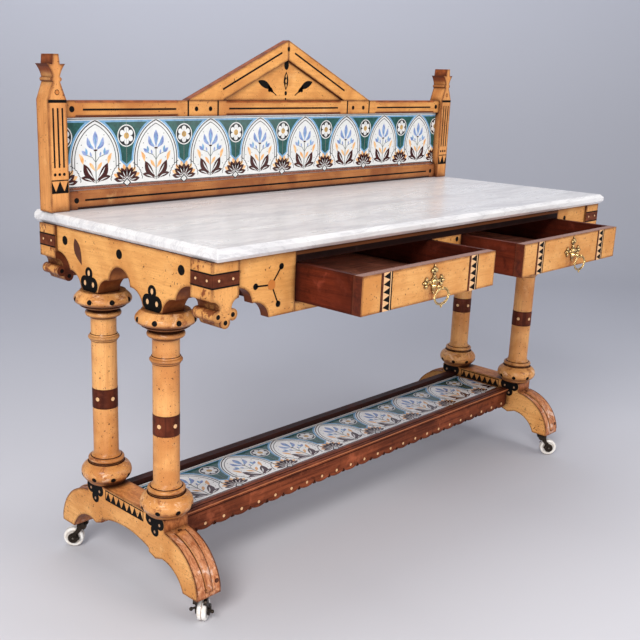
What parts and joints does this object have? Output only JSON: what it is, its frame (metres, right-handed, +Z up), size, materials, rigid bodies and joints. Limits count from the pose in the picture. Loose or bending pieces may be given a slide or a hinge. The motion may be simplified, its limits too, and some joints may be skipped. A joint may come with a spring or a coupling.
{
  "type": "washstand",
  "caption": "Marble-topped washstand on turned columns and arched feet with casters, tiled splashback with pediment, tiled tray, and frieze drawers with ring pulls.",
  "frame": {"origin": "on the floor, under the middle of the bounding box, with the drawers standing open as in the picture", "axes": "+X along the length, the front with the drawers faces -Y, +Z up"},
  "size_m": [1.3439, 0.7106, 1.068],
  "materials": {
    "marble": "polished white marble with faint grey veins",
    "tile": "printed and glazed",
    "maple": "waxed satin",
    "mahogany": "waxed satin",
    "pine": "plain",
    "brass": "lacquered",
    "dark_brass": "tarnished",
    "porcelain": "glazed white"
  },
  "bodies": {
    "stand": {"back_rail": "pine", "columns_front": "maple", "columns_rear": "maple", "corner_brackets_front": "maple", "corner_brackets_rear": "maple", "drawer_kickers": "mahogany", "drawer_runners": "mahogany", "end_apron_left": "maple", "end_apron_right": "maple", "foot_beam_left": "maple", "foot_beam_right": "maple", "front_apron_centre": "maple", "front_apron_left": "maple", "front_apron_right": "maple", "front_bottom_rail": "maple", "front_top_rail": "mahogany", "marble_top": "marble", "pediment_panel": "maple", "pediment_rafter_left": "maple", "pediment_rafter_right": "maple", "splash_back_board": "pine", "splash_bottom_rail": "maple", "splash_post_left": "maple", "splash_post_right": "maple", "splash_tiles": "tile", "splash_top_rail": "maple", "tray_back_rail": "mahogany", "tray_bed": "pine", "tray_front_rail": "mahogany", "tray_tiles": "tile"},
    "drawer_left": {"drawer_left_back": "mahogany", "drawer_left_bottom": "mahogany", "drawer_left_front": "maple", "drawer_left_side_left": "mahogany", "drawer_left_side_right": "mahogany", "pull_left_plate": "brass"},
    "drawer_right": {"drawer_right_back": "mahogany", "drawer_right_bottom": "mahogany", "drawer_right_front": "maple", "drawer_right_side_left": "mahogany", "drawer_right_side_right": "mahogany", "pull_right_plate": "brass"},
    "ring_left": {"pull_left_ring": "brass"},
    "ring_right": {"pull_right_ring": "brass"},
    "fork_front_left": {"caster_fork_front_left": "dark_brass"},
    "fork_front_right": {"caster_fork_front_right": "dark_brass"},
    "fork_rear_left": {"caster_fork_rear_left": "dark_brass"},
    "fork_rear_right": {"caster_fork_rear_right": "dark_brass"},
    "wheel_front_left": {"caster_wheel_front_left": "porcelain"},
    "wheel_front_right": {"caster_wheel_front_right": "porcelain"},
    "wheel_rear_left": {"caster_wheel_rear_left": "porcelain"},
    "wheel_rear_right": {"caster_wheel_rear_right": "porcelain"}
  },
  "joints": [
    {"name": "drawer_left_slide", "type": "slide", "parent": "stand", "child": "drawer_left", "axis": [0, -1, 0], "range_m": [-0.151, 0.15]},
    {"name": "drawer_right_slide", "type": "slide", "parent": "stand", "child": "drawer_right", "axis": [0, -1, 0], "range_m": [-0.151, 0.15]},
    {"name": "ring_left_swing", "type": "hinge", "parent": "drawer_left", "child": "ring_left", "pos_m": [-0.2526, -0.35125, 0.6315], "axis": [-1, 0, 0], "range_deg": [-15, 95]},
    {"name": "ring_right_swing", "type": "hinge", "parent": "drawer_right", "child": "ring_right", "pos_m": [0.2526, -0.35125, 0.6315], "axis": [-1, 0, 0], "range_deg": [-15, 95]},
    {"name": "caster_front_left_swivel", "type": "hinge", "parent": "stand", "child": "fork_front_left", "pos_m": [-0.616, -0.12375, 0.0643], "axis": [0, 0, 1], "continuous": true},
    {"name": "caster_front_left_roll", "type": "hinge", "parent": "fork_front_left", "child": "wheel_front_left", "pos_m": [-0.60467, -0.11552, 0.022], "axis": [-0.5878, 0.809, 0], "continuous": true},
    {"name": "caster_front_right_swivel", "type": "hinge", "parent": "stand", "child": "fork_front_right", "pos_m": [0.616, -0.12375, 0.0643], "axis": [0, 0, 1], "continuous": true},
    {"name": "caster_front_right_roll", "type": "hinge", "parent": "fork_front_right", "child": "wheel_front_right", "pos_m": [0.62558, -0.13396, 0.022], "axis": [0.729, 0.6845, 0], "continuous": true},
    {"name": "caster_rear_left_swivel", "type": "hinge", "parent": "stand", "child": "fork_rear_left", "pos_m": [-0.616, 0.27625, 0.0643], "axis": [0, 0, 1], "continuous": true},
    {"name": "caster_rear_left_roll", "type": "hinge", "parent": "fork_rear_left", "child": "wheel_rear_left", "pos_m": [-0.62558, 0.28646, 0.022], "axis": [-0.729, -0.6845, 0], "continuous": true},
    {"name": "caster_rear_right_swivel", "type": "hinge", "parent": "stand", "child": "fork_rear_right", "pos_m": [0.616, 0.27625, 0.0643], "axis": [0, 0, 1], "continuous": true},
    {"name": "caster_rear_right_roll", "type": "hinge", "parent": "fork_rear_right", "child": "wheel_rear_right", "pos_m": [0.60579, 0.26667, 0.022], "axis": [0.6845, -0.729, 0], "continuous": true}
  ]
}
